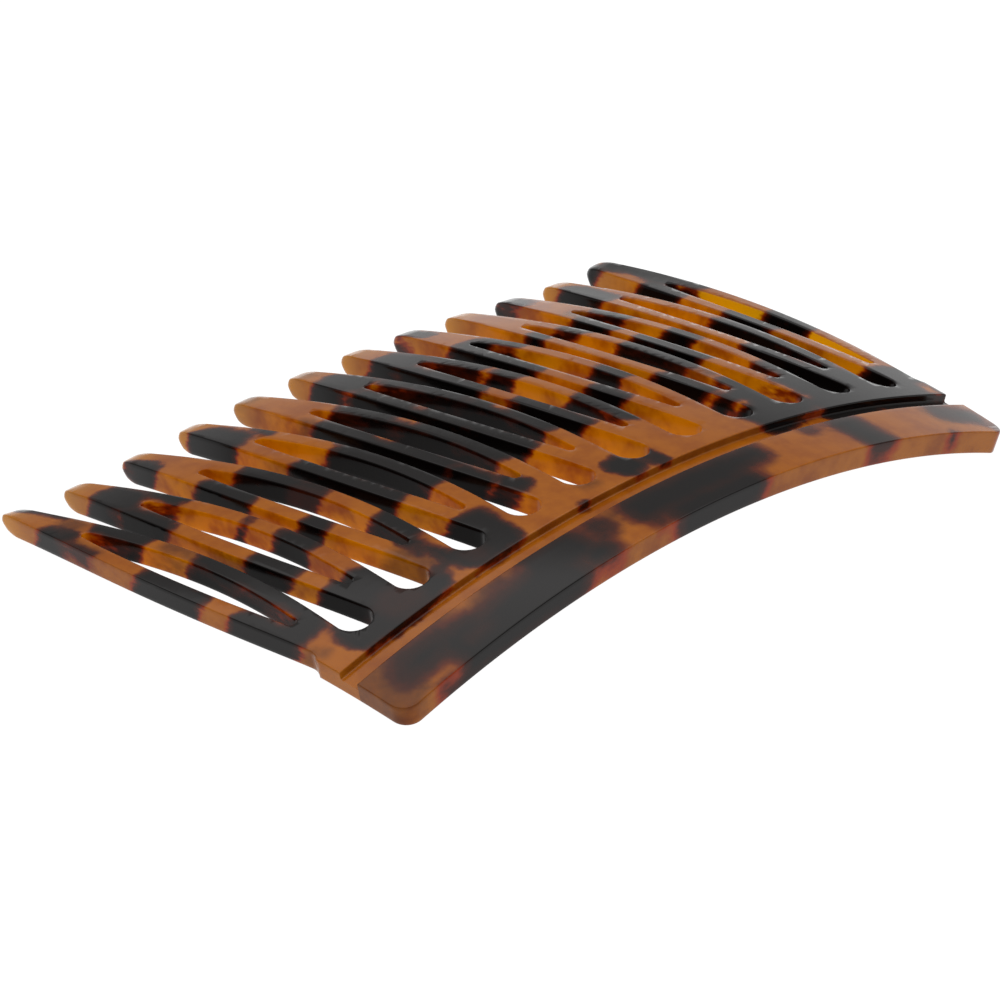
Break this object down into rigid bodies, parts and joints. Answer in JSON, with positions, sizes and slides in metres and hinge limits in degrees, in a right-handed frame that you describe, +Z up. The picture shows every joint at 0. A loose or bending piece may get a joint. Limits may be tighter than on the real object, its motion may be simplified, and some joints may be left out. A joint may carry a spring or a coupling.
{
  "type": "hair comb",
  "caption": "Domed side comb in tortoiseshell acetate: looped leaf-shaped teeth on a tooth plate, a shallow groove, and a bonded rim bar along its back edge.",
  "frame": {"origin": "on the ground under the middle of the comb, in its resting pose with the convex side up", "axes": "+X along the comb from the first tooth to the last, +Y from the rim bar towards the tooth tips, +Z up"},
  "size_m": [0.1052, 0.0636, 0.0119],
  "materials": {
    "plate_acetate": "polished translucent tortoiseshell acetate, amber with dark brown blotches",
    "rim_acetate": "polished translucent tortoiseshell acetate, amber with dark brown blotches"
  },
  "bodies": {
    "root": {"rim_bar": "rim_acetate", "tooth_plate": "plate_acetate", "tooth_01": "plate_acetate", "tooth_02": "plate_acetate", "tooth_03": "plate_acetate", "tooth_04": "plate_acetate", "tooth_05": "plate_acetate", "tooth_06": "plate_acetate", "tooth_07": "plate_acetate", "tooth_08": "plate_acetate", "tooth_09": "plate_acetate", "tooth_10": "plate_acetate", "tooth_11": "plate_acetate", "tooth_12": "plate_acetate"}
  },
  "joints": []
}
